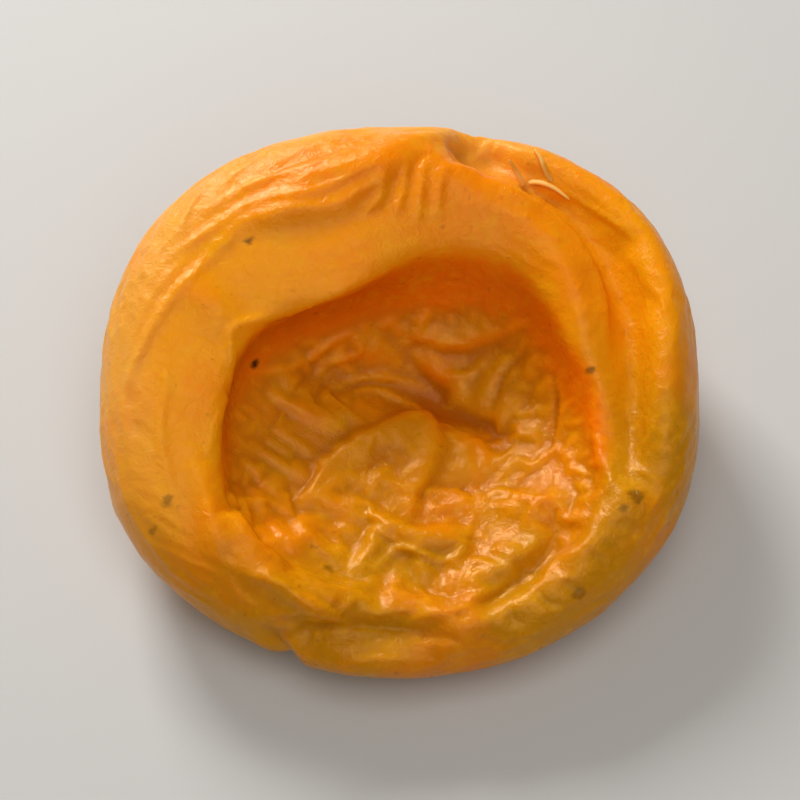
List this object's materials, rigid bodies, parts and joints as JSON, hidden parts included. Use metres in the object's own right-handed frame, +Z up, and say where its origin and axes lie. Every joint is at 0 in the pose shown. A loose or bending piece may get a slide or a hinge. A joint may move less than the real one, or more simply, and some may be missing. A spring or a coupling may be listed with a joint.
{
  "type": "dried apricot",
  "caption": "Whole dried apricot, stoned, sunk into a thick ring around a wrinkled dish, resting on a small flat spot.",
  "frame": {"origin": "bottom centre of the fruit's box, on the surface it lies on", "axes": "+X across the fruit towards its folded seam side, +Y towards the high far side of the ring, +Z up out of the dish"},
  "size_m": [0.045, 0.0426, 0.018],
  "materials": {
    "dried_skin": "translucent orange dried fruit skin, sticky half gloss, paler on the outside, browner in the dish"
  },
  "bodies": {
    "root": {"dried_apricot": "dried_skin"}
  },
  "joints": []
}
